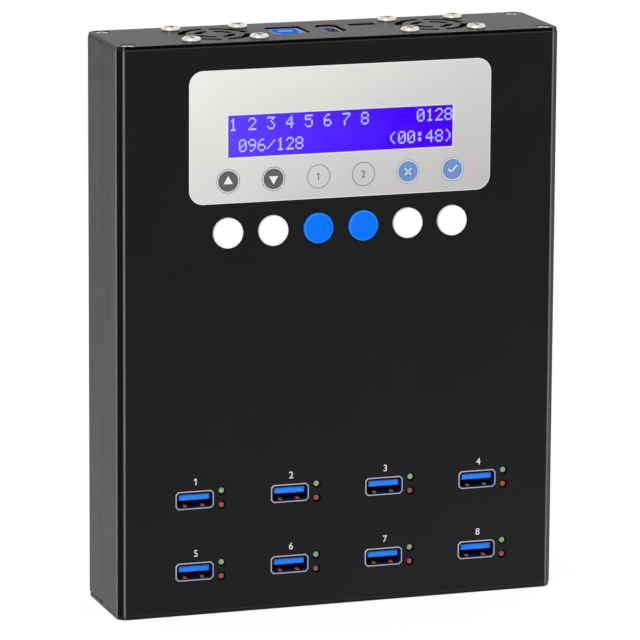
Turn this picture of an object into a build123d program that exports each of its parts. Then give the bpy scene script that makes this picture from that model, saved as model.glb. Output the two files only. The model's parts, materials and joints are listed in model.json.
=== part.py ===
"""Upright eight-port duplicator in a split aluminium case, in millimetres.

+Z is up, the front face looks along -Y and the origin is the middle of the bottom plate.
"""
import os
from math import radians, tan

from build123d import *

os.makedirs("parts", exist_ok=True)

# Case: two extruded halves and two end plates
case_width = 158.0
case_height = 198.0
case_depth = 38.0
corner_chamfer = 2.2
edge_round = 0.4
shell_edge = 0.25
wall = 2.0
plate_thickness = 1.2
plate_inset = 0.2
plate_rim = 0.2
seam_gap = 0.1
rear_shell_gap = 0.55
lip_thickness = 1.0
lip_reach = 2.0
guide_reach = 2.2
guide_thickness = 1.2
board_slack = 0.15
fit = 0.1
screw_fit = 0.05

# Countersunk screws at the corners of the end plates
corner_screw_inset_x = 4.7
corner_screw_inset_y = 3.6
corner_screw_radius = 1.45
corner_screw_length = 10.0
corner_head_radius = 2.5
corner_head_height = 0.9
corner_head_sink = 0.25
corner_boss_radius = 3.0
corner_recess_length = 3.4
corner_recess_width = 0.9
corner_recess_depth = 0.7

# Air slots in the bottom plate
vent_length = 12.0
vent_width = 2.2
vent_pitch_x = 16.0
vent_pitch_y = 6.0
vent_columns = 6
vent_rows = 3

# Control label and display
label_width = 108.0
label_height = 45.7
label_corner = 5.0
label_thickness = 0.4
label_drop = 32.1
window_width = 80.4
window_height = 14.4
window_recess = 0.1
display_frame_margin = 4.8
display_frame_depth = 8.0
display_frame_wall = 0.6
display_glass_depth = 2.6
display_board_edge = 2.6
display_screw_radius = 1.2
display_head_radius = 2.1
display_head_gap = 0.3
display_head_height = 1.3
display_spacer_radius = 2.4

# Push buttons and the switches behind them
button_names = ("up", "down", "one", "two", "cancel", "enter")
button_diameter = 10.5
button_pitch = 16.1
button_drop = 33.0
button_proud = 1.4
button_round = 0.7
button_skin = 1.2
button_travel = 0.5
button_hole_clearance = 0.2
button_flange_width = 0.9
button_flange_thickness = 1.0
button_flange_gap = 0.25
button_post_radius = 1.9
button_post_reach = 0.6
plunger_radius = 1.7
plunger_depth = 1.8
switch_width = 6.2
switch_height = 3.6

# Front sockets, two rows of four
port_columns = 4
ports_centre = -0.6
port_pitch = 34.2
lower_port_height = 15.5
port_row_pitch = 25.2
socket_inner_width = 12.5
socket_inner_height = 5.2
socket_wall = 0.6
socket_corner = 1.0
socket_proud = 0.3
socket_length = 11.7
socket_clearance = 0.15
tongue_width = 11.1
tongue_height = 2.1
tongue_rise = 0.95
tongue_recess = 0.9
socket_floor = 2.4
spring_width = 1.3
spring_length = 6.0
spring_height = 0.8
spring_spacing = 6.2
spring_recess = 0.9

# Indicator lamps beside each socket
lamp_offset = 9.8
lamp_spacing = 5.0
lamp_hole_radius = 1.5
lamp_radius = 1.2
lamp_recess = 0.5
lamp_length = 4.5
lamp_flange_radius = 1.5
lamp_flange_thickness = 0.6
lamp_leg_radius = 0.25
lamp_leg_spacing = 1.27

# Circuit boards
board_thickness = 1.6
board_side_gap = 0.4
board_end_gap = 0.2
fan_side_gap = 1.0
header_width = 50.0
header_height = 5.0
header_level = 95.0
main_board_back_space = 6.0
processor_width = 20.0
processor_thickness = 1.8
processor_level = 130.0
chip_width = 9.0
chip_thickness = 1.2
chip_pitch = 30.0
chip_level = 70.0
chip_count = 4
bridge_chip_width = 7.0
bridge_chip_thickness = 1.0
sink_width = 26.0
sink_base = 2.0
sink_fin_height = 5.0
sink_fin_thickness = 1.2
sink_fin_count = 6

# Fans under the top plate
fan_offset = 39.0
fan_size = 30.0
fan_height = 10.0
fan_corner = 3.0
fan_bore_radius = 14.0
fan_hole_spacing = 24.0
fan_base_thickness = 1.2
fan_base_radius = 6.0
fan_strut_width = 2.0
fan_strut_count = 3
bearing_tube_radius = 3.0
bearing_tube_height = 6.0
bearing_radius = 1.95
shaft_radius = 1.0
shaft_clearance = 0.03
shaft_length = 7.4
stator_radius = 4.9
stator_height = 3.6
rotor_gap = 0.6
rotor_top_gap = 0.8
hub_radius = 6.5
hub_wall = 0.8
hub_boss_radius = 2.0
hub_boss_height = 1.5
blade_count = 7
blade_chord = 8.0
blade_thickness = 0.7
blade_pitch = 40.0
blade_tip_gap = 0.5

# Air grille over each fan
grille_outer_radius = 12.6
grille_slot_width = 2.6
grille_inner_radius = 7.2
grille_spoke = 2.4

# Domed fan screws and their nuts
fan_screw_radius = 1.5
fan_screw_clearance = 0.15
fan_head_radius = 3.3
fan_head_height = 1.4
fan_head_dome = 1.0
fan_recess_length = 4.2
fan_recess_width = 1.1
fan_recess_depth = 0.9
fan_nut_width = 5.5
fan_nut_height = 2.4
fan_screw_end = 0.6

# Sockets in the top plate, all seated on the main board
top_port_recess = 0.6
top_port_stand = 1.1
top_port_gap = 0.4
board_notch_gap = 1.0
leg_width = 1.6
link_port_x = -12.7
link_port_width = 12.0
link_port_depth = 13.4
link_port_length = 17.0
link_port_wall = 0.4
link_cavity_width = 8.6
link_cavity_depth = 7.6
link_step_width = 6.2
link_step_depth = 2.8
link_core_width = 5.6
link_core_depth = 3.2
link_cavity_length = 9.5
host_port_x = 2.9
host_opening_gap = 0.8
host_opening_chamfer = 1.8
host_port_length = 14.0
inlet_x = 15.9
inlet_width = 8.94
inlet_depth = 3.26
inlet_wall = 0.3
inlet_length = 8.0
inlet_recess = 3.6
inlet_floor = 1.5
inlet_tongue_width = 6.7
inlet_tongue_thickness = 0.7
inlet_opening_gap = 0.3

# Fan leads and the sockets they plug into
lead_radius = 0.8
lead_start = 3.5
lead_drop = 4.0
lead_slope = 4.6
lead_socket_width = 6.0
lead_socket_depth = 4.0
lead_socket_height = 6.0

# Rubber feet on the back
foot_radius = 6.0
foot_height = 2.5
foot_round = 0.8
foot_inset = 17.0

# Places worked out from the sizes above
front = -case_depth / 2
back = case_depth / 2
wall_back = front + wall
inner_width = case_width - 2 * wall
inner_depth = case_depth - 2 * wall
shell_top = case_height - plate_thickness
label_level = case_height - label_drop
frame_front = front
frame_back = frame_front + display_frame_depth
frame_width = window_width + 2 * display_frame_margin
frame_height = window_height + 2 * display_frame_margin
button_level = label_level - button_drop
front_board_front = front - socket_proud + socket_length
front_board_back = front_board_front + board_thickness
main_board_back = back - wall - main_board_back_space
main_board_front = main_board_back - board_thickness
board_width = inner_width - 2 * board_side_gap
board_bottom = plate_thickness + board_end_gap
fan_bottom = shell_top - fan_height
nut_bottom = fan_bottom - fan_nut_height
screw_end_level = nut_bottom - fan_screw_end
corner_screw_x = case_width / 2 - corner_screw_inset_x
corner_screw_y = case_depth / 2 - corner_screw_inset_y
corner_points = [
    (x, y)
    for x in (-corner_screw_x, corner_screw_x)
    for y in (-corner_screw_y, corner_screw_y)
]
fan_hole = fan_hole_spacing / 2
fan_screw_points = [
    (fan_x + x, y)
    for fan_x in (-fan_offset, fan_offset)
    for x in (-fan_hole, fan_hole)
    for y in (-fan_hole, fan_hole)
]
button_xs = [(index - (len(button_names) - 1) / 2) * button_pitch for index in range(len(button_names))]
port_xs = [ports_centre + (index - (port_columns - 1) / 2) * port_pitch for index in range(port_columns)]
port_rows = {"lower": lower_port_height, "upper": lower_port_height + port_row_pitch}
port_points = [(x, level) for level in port_rows.values() for x in port_xs]
socket_width = socket_inner_width + 2 * socket_wall
socket_height = socket_inner_height + 2 * socket_wall


def facing(depth):
    """Plane parallel to the front face at a depth, with its normal towards the viewer."""
    return Plane.XZ.offset(-depth)


def case_outline(inset=0.0):
    """Chamfered outline of the case with its edges slightly rounded."""
    with BuildSketch() as outline:
        Rectangle(case_width - 2 * inset, case_depth - 2 * inset)
        chamfer(outline.vertices(), corner_chamfer)
        fillet(outline.vertices(), edge_round)
    return outline.sketch


def socket_section(width, height, corner):
    """Rectangle with its four corners cut at 45 degrees."""
    with BuildSketch() as section:
        Rectangle(width, height)
        chamfer(section.vertices(), corner)
    return section.sketch


case_section = case_outline()
plate_section = case_outline(plate_inset)
socket_outer = socket_section(socket_width, socket_height, socket_corner)
socket_inner = socket_section(socket_inner_width, socket_inner_height, socket_corner - socket_wall / 2)
socket_opening = socket_section(
    socket_width + 2 * socket_clearance, socket_height + 2 * socket_clearance, socket_corner
)

# Front half of the case
front_guide_ys = (
    front_board_front - board_slack - guide_thickness / 2,
    front_board_back + board_slack + guide_thickness / 2,
)
with BuildPart() as front_shell:
    with BuildSketch(Plane.XY.offset(plate_thickness)):
        add(case_section)
        Rectangle(inner_width, inner_depth, mode=Mode.SUBTRACT)
        with Locations((0, (case_depth - seam_gap) / 2)):
            Rectangle(case_width, case_depth, mode=Mode.SUBTRACT)
        for side in (-1, 1):
            with Locations(*[(side * (inner_width - guide_reach) / 2, y) for y in front_guide_ys]):
                Rectangle(guide_reach, guide_thickness)
            with Locations((side * corner_screw_x, -corner_screw_y)):
                Circle(corner_boss_radius)
                Circle(corner_screw_radius + screw_fit, mode=Mode.SUBTRACT)
    extrude(amount=shell_top - plate_thickness)
    front_edges = front_shell.faces().sort_by(Axis.Y)[0].edges().group_by(Axis.Z)
    chamfer(front_edges[0] + front_edges[-1], shell_edge)
    with BuildSketch(facing(wall_back)):
        with Locations((0, label_level)):
            Rectangle(frame_width + 2 * fit, frame_height + 2 * fit)
        with Locations(*[(x, button_level) for x in button_xs]):
            Circle(button_diameter / 2 + button_hole_clearance)
        with Locations(*port_points):
            add(socket_opening)
        with Locations(*[
            (x + lamp_offset, level + rise)
            for x, level in port_points
            for rise in (-lamp_spacing / 2, lamp_spacing / 2)
        ]):
            Circle(lamp_hole_radius)
    extrude(amount=wall, mode=Mode.SUBTRACT)
front_shell.part.label = "front_shell"
export_step(front_shell.part, "parts/front_shell.step")

# Rear half of the case, with a lip that reaches inside the front half
rear_guide_ys = (
    main_board_front - board_slack - guide_thickness / 2,
    main_board_back + board_slack + guide_thickness / 2,
)
rear_shell_bottom = plate_thickness + rear_shell_gap
with BuildPart() as rear_shell:
    with BuildSketch(Plane.XY.offset(rear_shell_bottom)):
        add(case_section)
        Rectangle(inner_width, inner_depth, mode=Mode.SUBTRACT)
        with Locations((0, (seam_gap - case_depth) / 2)):
            Rectangle(case_width, case_depth, mode=Mode.SUBTRACT)
        for side in (-1, 1):
            lip_outer = inner_width / 2 - fit
            with Locations((side * (lip_outer - lip_thickness / 2), 0)):
                Rectangle(lip_thickness, 2 * lip_reach)
            with Locations((side * (lip_outer + fit / 2), (lip_reach + seam_gap / 2) / 2)):
                Rectangle(lip_thickness + fit, lip_reach - seam_gap / 2)
            with Locations(*[(side * (inner_width - guide_reach) / 2, y) for y in rear_guide_ys]):
                Rectangle(guide_reach, guide_thickness)
            with Locations((side * corner_screw_x, corner_screw_y)):
                Circle(corner_boss_radius)
                Circle(corner_screw_radius + screw_fit, mode=Mode.SUBTRACT)
    extrude(amount=shell_top - rear_shell_bottom)
rear_shell.part.label = "rear_shell"
export_step(rear_shell.part, "parts/rear_shell.step")

# Top plate with its air grilles and the openings for the sockets
host_port_width = socket_height
host_port_depth = socket_width
top_port_back = main_board_front - top_port_stand
top_port_top = case_height - top_port_recess
link_port_bottom = top_port_top - link_port_length
link_port_y = top_port_back - link_port_depth / 2
host_port_y = top_port_back - host_port_depth / 2
inlet_y = top_port_back - inlet_depth / 2
host_opening = socket_section(
    host_port_width + 2 * host_opening_gap,
    host_port_depth + 2 * host_opening_gap,
    host_opening_chamfer,
)
with BuildPart() as top_end_plate:
    with BuildSketch(Plane.XY.offset(shell_top)):
        add(plate_section)
    extrude(amount=plate_thickness)
    chamfer(top_end_plate.edges().group_by(Axis.Z)[-1], plate_rim)
    with BuildSketch(Plane.XY.offset(shell_top)):
        with Locations((-fan_offset, 0), (fan_offset, 0)):
            Circle(grille_outer_radius)
            Circle(grille_outer_radius - grille_slot_width, mode=Mode.SUBTRACT)
            Circle(grille_inner_radius)
            Circle(grille_inner_radius - grille_slot_width, mode=Mode.SUBTRACT)
            Rectangle(2 * grille_outer_radius, grille_spoke, mode=Mode.SUBTRACT)
            Rectangle(grille_spoke, 2 * grille_outer_radius, mode=Mode.SUBTRACT)
        with Locations(*fan_screw_points):
            Circle(fan_screw_radius + fan_screw_clearance)
        with Locations((link_port_x, link_port_y)):
            Rectangle(link_port_width + 2 * top_port_gap, link_port_depth + 2 * top_port_gap)
        with Locations((host_port_x, host_port_y)):
            add(host_opening)
        with Locations((inlet_x, inlet_y)):
            Rectangle(inlet_width + 2 * inlet_opening_gap, inlet_depth + 2 * inlet_opening_gap)
    extrude(amount=plate_thickness, mode=Mode.SUBTRACT)
    with Locations(*[(x, y, case_height) for x, y in corner_points]):
        CounterSinkHole(
            radius=corner_screw_radius + fit,
            counter_sink_radius=corner_head_radius + corner_head_sink,
            depth=plate_thickness,
            counter_sink_angle=90,
        )
top_end_plate.part.label = "top_end_plate"
export_step(top_end_plate.part, "parts/top_end_plate.step")

# Bottom plate with air slots
with BuildPart() as bottom_end_plate:
    with BuildSketch(Plane.XY):
        add(plate_section)
        with GridLocations(vent_pitch_x, vent_pitch_y, vent_columns, vent_rows):
            SlotOverall(vent_length, vent_width, mode=Mode.SUBTRACT)
    extrude(amount=plate_thickness)
    with Locations(*[Plane.XY.location * Location((x, y, 0), (180, 0, 0)) for x, y in corner_points]):
        CounterSinkHole(
            radius=corner_screw_radius + fit,
            counter_sink_radius=corner_head_radius + corner_head_sink,
            depth=plate_thickness,
            counter_sink_angle=90,
        )
bottom_end_plate.part.label = "bottom_end_plate"
export_step(bottom_end_plate.part, "parts/bottom_end_plate.step")

# Countersunk screws, sunk slightly below the plates' faces
head_foot_radius = corner_head_radius - corner_head_height
for end, plane in (
    ("top", Plane.XY.offset(case_height - corner_head_sink)),
    ("bottom", Plane.XY.offset(corner_head_sink)),
):
    turn = 0 if end == "top" else 180
    with BuildPart() as plate_screws:
        with Locations(*[plane.location * Location((x, y, 0), (turn, 0, 0)) for x, y in corner_points]):
            Cone(
                head_foot_radius,
                corner_head_radius,
                corner_head_height,
                align=(Align.CENTER, Align.CENTER, Align.MAX),
            )
            Cylinder(
                corner_screw_radius,
                corner_screw_length,
                align=(Align.CENTER, Align.CENTER, Align.MAX),
            )
            for length, width in (
                (corner_recess_length, corner_recess_width),
                (corner_recess_width, corner_recess_length),
            ):
                Box(
                    length,
                    width,
                    corner_recess_depth,
                    align=(Align.CENTER, Align.CENTER, Align.MAX),
                    mode=Mode.SUBTRACT,
                )
    plate_screws.part.label = f"{end}_plate_screws"
    export_step(plate_screws.part, f"parts/{end}_plate_screws.step")

# Printed label around the display window
with BuildPart() as control_label:
    with BuildSketch(facing(front)):
        with Locations((0, label_level)):
            RectangleRounded(label_width, label_height, label_corner)
            Rectangle(window_width, window_height, mode=Mode.SUBTRACT)
    extrude(amount=label_thickness)
control_label.part.label = "control_label"
export_step(control_label.part, "parts/control_label.step")

# Display module behind the label: metal frame, clear pane, glass and light panel on its own board
glass_width = frame_width - 2 * (display_frame_wall + fit)
glass_height = frame_height - 2 * (display_frame_wall + fit)
glass_front = frame_front + display_frame_wall
glass_back = glass_front + display_glass_depth
with BuildPart() as display_bezel:
    with BuildSketch(facing(frame_back)):
        with Locations((0, label_level)):
            Rectangle(frame_width, frame_height)
    extrude(amount=display_frame_depth)
    with BuildSketch(facing(frame_back)):
        with Locations((0, label_level)):
            Rectangle(frame_width - 2 * display_frame_wall, frame_height - 2 * display_frame_wall)
    extrude(amount=display_frame_depth - display_frame_wall, mode=Mode.SUBTRACT)
    with BuildSketch(facing(glass_front)):
        with Locations((0, label_level)):
            Rectangle(window_width, window_height)
    extrude(amount=display_frame_wall, mode=Mode.SUBTRACT)
display_bezel.part.label = "display_bezel"
export_step(display_bezel.part, "parts/display_bezel.step")

with BuildPart() as display_window:
    with BuildSketch(facing(glass_front)):
        with Locations((0, label_level)):
            Rectangle(window_width - 2 * fit, window_height - 2 * fit)
    extrude(amount=glass_front - front + label_thickness - window_recess)
display_window.part.label = "display_window"
export_step(display_window.part, "parts/display_window.step")

with BuildPart() as display_glass:
    with BuildSketch(facing(glass_back)):
        with Locations((0, label_level)):
            Rectangle(glass_width, glass_height)
    extrude(amount=display_glass_depth)
display_glass.part.label = "display_glass"
export_step(display_glass.part, "parts/display_glass.step")

with BuildPart() as display_backlight:
    with BuildSketch(facing(frame_back)):
        with Locations((0, label_level)):
            Rectangle(glass_width, glass_height)
    extrude(amount=frame_back - glass_back)
display_backlight.part.label = "display_backlight"
export_step(display_backlight.part, "parts/display_backlight.step")

display_board_back = frame_back + board_thickness
display_screw_x = frame_width / 2 + display_head_radius + display_head_gap
display_screw_z = frame_height / 2 + display_head_radius + display_head_gap
display_screw_points = [
    (side * display_screw_x, label_level + end * display_screw_z)
    for side in (-1, 1)
    for end in (-1, 1)
]
with BuildPart() as display_board:
    with BuildSketch(facing(display_board_back)):
        with Locations((0, label_level)):
            Rectangle(
                2 * (display_screw_x + display_board_edge),
                2 * (display_screw_z + display_board_edge),
            )
        with Locations(*display_screw_points):
            Circle(display_screw_radius + fit, mode=Mode.SUBTRACT)
    extrude(amount=board_thickness)
display_board.part.label = "display_board"
export_step(display_board.part, "parts/display_board.step")

with BuildPart() as display_spacers:
    with BuildSketch(facing(front_board_front)):
        with Locations(*display_screw_points):
            Circle(display_spacer_radius)
            Circle(display_screw_radius + fit, mode=Mode.SUBTRACT)
    extrude(amount=front_board_front - display_board_back)
display_spacers.part.label = "display_spacers"
export_step(display_spacers.part, "parts/display_spacers.step")

with BuildPart() as display_screws:
    with BuildSketch(facing(frame_back)):
        with Locations(*display_screw_points):
            Circle(display_head_radius)
    extrude(amount=display_head_height)
    with BuildSketch(facing(front_board_back)):
        with Locations(*display_screw_points):
            Circle(display_screw_radius)
    extrude(amount=front_board_back - frame_back)
display_screws.part.label = "display_screws"
export_step(display_screws.part, "parts/display_screws.step")

# Front board: carries the sockets, lamps, switches and display, and is notched behind the top sockets
front_board_top = fan_bottom - fan_nut_height
notch_bottom = link_port_bottom - board_notch_gap
notch_left = link_port_x - link_port_width / 2 - board_notch_gap
notch_right = host_port_x + host_port_width / 2 + board_notch_gap
with BuildPart() as front_board:
    with BuildSketch(facing(front_board_back)):
        with Locations((0, (board_bottom + front_board_top) / 2)):
            Rectangle(board_width, front_board_top - board_bottom)
        with Locations(((notch_left + notch_right) / 2, (notch_bottom + front_board_top) / 2)):
            Rectangle(
                notch_right - notch_left, front_board_top - notch_bottom, mode=Mode.SUBTRACT
            )
        with Locations(*display_screw_points):
            Circle(display_screw_radius + screw_fit, mode=Mode.SUBTRACT)
    extrude(amount=board_thickness)
front_board.part.label = "front_board"
export_step(front_board.part, "parts/front_board.step")

# Switch bodies with a bore for each plunger
plunger_bore_depth = plunger_depth + 2 * button_travel
with BuildPart() as key_switches:
    with BuildSketch(facing(front_board_front)):
        with Locations(*[(x, button_level) for x in button_xs]):
            Rectangle(switch_width, switch_width)
    extrude(amount=switch_height)
    with BuildSketch(facing(front_board_front - switch_height + plunger_bore_depth)):
        with Locations(*[(x, button_level) for x in button_xs]):
            Circle(plunger_radius + screw_fit)
    extrude(amount=plunger_bore_depth, mode=Mode.SUBTRACT)
key_switches.part.label = "key_switches"
export_step(key_switches.part, "parts/key_switches.step")

# Button caps, each with a flange behind the wall and a post over its plunger
flange_front = wall_back + button_flange_gap
flange_back = flange_front + button_flange_thickness
post_back = flange_back + button_post_reach
cap_front = front - button_proud
plunger_back = front_board_front - switch_height + plunger_depth
for name, button_x in zip(button_names, button_xs):
    with BuildPart() as button:
        with BuildSketch(facing(flange_back)):
            with Locations((button_x, button_level)):
                Circle(button_diameter / 2 + button_flange_width)
        extrude(amount=button_flange_thickness)
        with BuildSketch(facing(flange_front)):
            with Locations((button_x, button_level)):
                Circle(button_diameter / 2)
        extrude(amount=flange_front - cap_front)
        fillet(button.edges().group_by(Axis.Y)[0], button_round)
        with BuildSketch(facing(flange_back)):
            with Locations((button_x, button_level)):
                Circle(button_diameter / 2 - button_skin)
        extrude(amount=flange_back - cap_front - button_skin, mode=Mode.SUBTRACT)
        with BuildSketch(facing(post_back)):
            with Locations((button_x, button_level)):
                Circle(button_post_radius)
        extrude(amount=post_back - cap_front - button_skin / 2)
    button.part.label = f"button_{name}"
    export_step(button.part, f"parts/button_{name}.step")

    with BuildPart() as plunger:
        with BuildSketch(facing(plunger_back)):
            with Locations((button_x, button_level)):
                Circle(plunger_radius)
        extrude(amount=plunger_back - post_back)
    plunger.part.label = f"plunger_{name}"
    export_step(plunger.part, f"parts/plunger_{name}.step")

# Front sockets: metal shells with a moulded floor and tongue inside
for row, level in port_rows.items():
    with BuildPart() as port_shells:
        with BuildSketch(facing(front_board_front)):
            with Locations(*[(x, level) for x in port_xs]):
                add(socket_outer)
                add(socket_inner, mode=Mode.SUBTRACT)
        extrude(amount=socket_length)
    port_shells.part.label = f"{row}_port_shells"
    export_step(port_shells.part, f"parts/{row}_port_shells.step")

    with BuildPart() as port_tongues:
        with BuildSketch(facing(front_board_front)):
            with Locations(*[(x, level) for x in port_xs]):
                Rectangle(socket_inner_width - 2 * socket_corner, socket_inner_height - 2 * screw_fit)
                Rectangle(socket_inner_width - 2 * screw_fit, socket_inner_height - 2 * socket_corner)
        extrude(amount=socket_floor)
        with BuildSketch(facing(front_board_front)):
            with Locations(*[(x, level + tongue_rise) for x in port_xs]):
                Rectangle(tongue_width, tongue_height)
        extrude(amount=socket_length - tongue_recess)
    port_tongues.part.label = f"{row}_port_tongues"
    export_step(port_tongues.part, f"parts/{row}_port_tongues.step")

# Sprung contacts on the floor of each front socket
spring_start = front - socket_proud + spring_recess
with BuildPart() as port_contacts:
    for x, level in port_points:
        for side in (-1, 1):
            spring_x = x + side * spring_spacing / 2 - spring_width / 2
            with BuildSketch(Plane.YZ.offset(spring_x)):
                with BuildLine():
                    Polyline(
                        (spring_start, level - socket_inner_height / 2),
                        (spring_start + spring_length / 3, level - socket_inner_height / 2 + spring_height),
                        (spring_start + spring_length, level - socket_inner_height / 2),
                        close=True,
                    )
                make_face()
            extrude(amount=spring_width)
port_contacts.part.label = "port_contacts"
export_step(port_contacts.part, "parts/port_contacts.step")

# Indicator lamps: green above, red below
lens_front = front + lamp_recess
lens_back = lens_front + lamp_length
for colour, rise in (("green", lamp_spacing / 2), ("red", -lamp_spacing / 2)):
    lamp_points = [(x + lamp_offset, level + rise) for x, level in port_points]
    with BuildPart() as lamps:
        with BuildSketch(facing(lens_back)):
            with Locations(*lamp_points):
                Circle(lamp_radius)
        extrude(amount=lamp_length)
        fillet(lamps.edges().group_by(Axis.Y)[0], lamp_radius / 2)
        with BuildSketch(facing(lens_back + lamp_flange_thickness)):
            with Locations(*lamp_points):
                Circle(lamp_flange_radius)
        extrude(amount=lamp_flange_thickness)
        with BuildSketch(facing(front_board_front)):
            with Locations(*lamp_points):
                with GridLocations(lamp_leg_spacing, 0, 2, 1):
                    Circle(lamp_leg_radius)
        extrude(amount=front_board_front - lens_back - lamp_flange_thickness)
    lamps.part.label = f"{colour}_lamps"
    export_step(lamps.part, f"parts/{colour}_lamps.step")

# Main board: full width below the fans, with a tab up between them for the top sockets
board_shoulder = screw_end_level - fan_side_gap
tab_width = 2 * (fan_offset - fan_size / 2 - fan_side_gap)
tab_top = shell_top - board_end_gap
with BuildPart() as main_board:
    with BuildSketch(facing(main_board_back)):
        with Locations((0, (board_bottom + board_shoulder) / 2)):
            Rectangle(board_width, board_shoulder - board_bottom)
        with Locations((0, (board_bottom + tab_top) / 2)):
            Rectangle(tab_width, tab_top - board_bottom)
    extrude(amount=board_thickness)
main_board.part.label = "main_board"
export_step(main_board.part, "parts/main_board.step")

# Stacking connector between the two boards
with BuildPart() as board_header:
    with BuildSketch(facing(main_board_front)):
        with Locations((0, header_level)):
            Rectangle(header_width, header_height)
    extrude(amount=main_board_front - front_board_back)
board_header.part.label = "board_header"
export_step(board_header.part, "parts/board_header.step")

# Chips on the main board: the processor, and a row of hub chips
with BuildPart() as main_chips:
    with BuildSketch(facing(main_board_front)):
        with Locations((0, processor_level)):
            Rectangle(processor_width, processor_width)
    extrude(amount=processor_thickness)
    with BuildSketch(facing(main_board_front)):
        with Locations((0, chip_level)):
            with GridLocations(chip_pitch, 0, chip_count, 1):
                Rectangle(chip_width, chip_width)
    extrude(amount=chip_thickness)
main_chips.part.label = "main_chips"
export_step(main_chips.part, "parts/main_chips.step")

# Finned heat sink on the processor
sink_back = main_board_front - processor_thickness
sink_fin_pitch = (sink_width - sink_fin_thickness) / (sink_fin_count - 1)
with BuildPart() as heat_sink:
    with BuildSketch(facing(sink_back)):
        with Locations((0, processor_level)):
            Rectangle(sink_width, sink_width)
    extrude(amount=sink_base)
    with BuildSketch(facing(sink_back)):
        with Locations((0, processor_level)):
            with GridLocations(sink_fin_pitch, 0, sink_fin_count, 1):
                Rectangle(sink_fin_thickness, sink_width)
    extrude(amount=sink_base + sink_fin_height)
heat_sink.part.label = "heat_sink"
export_step(heat_sink.part, "parts/heat_sink.step")

# One bridge chip behind each front socket
with BuildPart() as bridge_chips:
    with BuildSketch(facing(front_board_back + bridge_chip_thickness)):
        with Locations(*port_points):
            Rectangle(bridge_chip_width, bridge_chip_width)
    extrude(amount=bridge_chip_thickness)
bridge_chips.part.label = "bridge_chips"
export_step(bridge_chips.part, "parts/bridge_chips.step")

# Fans: a square frame with its bearing tube, a bladed rotor and its shaft
rotor_bottom = fan_bottom + fan_base_thickness + rotor_gap
rotor_top = shell_top - rotor_top_gap
rotor_middle = (rotor_bottom + rotor_top) / 2
for side, fan_x in (("left", -fan_offset), ("right", fan_offset)):
    with BuildPart() as fan_frame:
        with BuildSketch(Plane.XY.offset(fan_bottom)):
            with Locations((fan_x, 0)):
                RectangleRounded(fan_size, fan_size, fan_corner)
                Circle(fan_bore_radius, mode=Mode.SUBTRACT)
                with GridLocations(fan_hole_spacing, fan_hole_spacing, 2, 2):
                    Circle(fan_screw_radius + fan_screw_clearance, mode=Mode.SUBTRACT)
        extrude(amount=fan_height)
        with BuildSketch(Plane.XY.offset(fan_bottom)):
            with Locations((fan_x, 0)):
                Circle(fan_base_radius)
                with PolarLocations(fan_bore_radius / 2, fan_strut_count):
                    Rectangle(fan_bore_radius + board_side_gap, fan_strut_width)
        extrude(amount=fan_base_thickness)
        with BuildSketch(Plane.XY.offset(fan_bottom)):
            with Locations((fan_x, 0)):
                Circle(bearing_tube_radius)
        extrude(amount=bearing_tube_height)
        with BuildSketch(Plane.XY.offset(fan_bottom + fan_base_thickness)):
            with Locations((fan_x, 0)):
                Circle(bearing_radius + screw_fit)
        extrude(amount=bearing_tube_height, mode=Mode.SUBTRACT)
    fan_frame.part.label = f"{side}_fan_frame"
    export_step(fan_frame.part, f"parts/{side}_fan_frame.step")

    with BuildPart() as fan_rotor:
        with BuildSketch(Plane.XY.offset(rotor_bottom)):
            with Locations((fan_x, 0)):
                Circle(hub_radius)
        extrude(amount=rotor_top - rotor_bottom)
        for index in range(blade_count):
            outward = Vector(1, 0, 0).rotate(Axis.Z, 360 / blade_count * index)
            root = Vector(fan_x, 0, rotor_middle) + outward * (hub_radius / 2)
            with BuildSketch(Plane(root, x_dir=outward.cross(Vector(0, 0, 1)), z_dir=outward)):
                Rectangle(blade_chord, blade_thickness, rotation=blade_pitch)
            extrude(amount=fan_bore_radius - hub_radius / 2)
        with Locations((fan_x, 0, rotor_middle)):
            Cylinder(fan_bore_radius - blade_tip_gap, rotor_top - rotor_bottom, mode=Mode.INTERSECT)
        with BuildSketch(Plane.XY.offset(rotor_bottom)):
            with Locations((fan_x, 0)):
                Circle(hub_radius - hub_wall)
        extrude(amount=rotor_top - rotor_bottom - hub_wall, mode=Mode.SUBTRACT)
        with BuildSketch(Plane.XY.offset(rotor_top - hub_wall - hub_boss_height)):
            with Locations((fan_x, 0)):
                Circle(hub_boss_radius)
        extrude(amount=hub_boss_height + hub_wall / 2)
        with BuildSketch(Plane.XY.offset(rotor_top - hub_wall - hub_boss_height)):
            with Locations((fan_x, 0)):
                Circle(shaft_radius + shaft_clearance)
        extrude(amount=hub_boss_height + hub_wall / 2, mode=Mode.SUBTRACT)
    fan_rotor.part.label = f"{side}_fan_rotor"
    export_step(fan_rotor.part, f"parts/{side}_fan_rotor.step")

    with BuildPart() as fan_shaft:
        with BuildSketch(Plane.XY.offset(rotor_top - hub_wall / 2 - shaft_length)):
            with Locations((fan_x, 0)):
                Circle(shaft_radius)
        extrude(amount=shaft_length)
    fan_shaft.part.label = f"{side}_fan_shaft"
    export_step(fan_shaft.part, f"parts/{side}_fan_shaft.step")

# Bearing sleeves inside the tubes, and the coils around them
with BuildPart() as fan_bearings:
    with BuildSketch(Plane.XY.offset(fan_bottom + fan_base_thickness)):
        with Locations((-fan_offset, 0), (fan_offset, 0)):
            Circle(bearing_radius)
            Circle(shaft_radius + shaft_clearance, mode=Mode.SUBTRACT)
    extrude(amount=bearing_tube_height - fan_base_thickness)
fan_bearings.part.label = "fan_bearings"
export_step(fan_bearings.part, "parts/fan_bearings.step")

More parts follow.
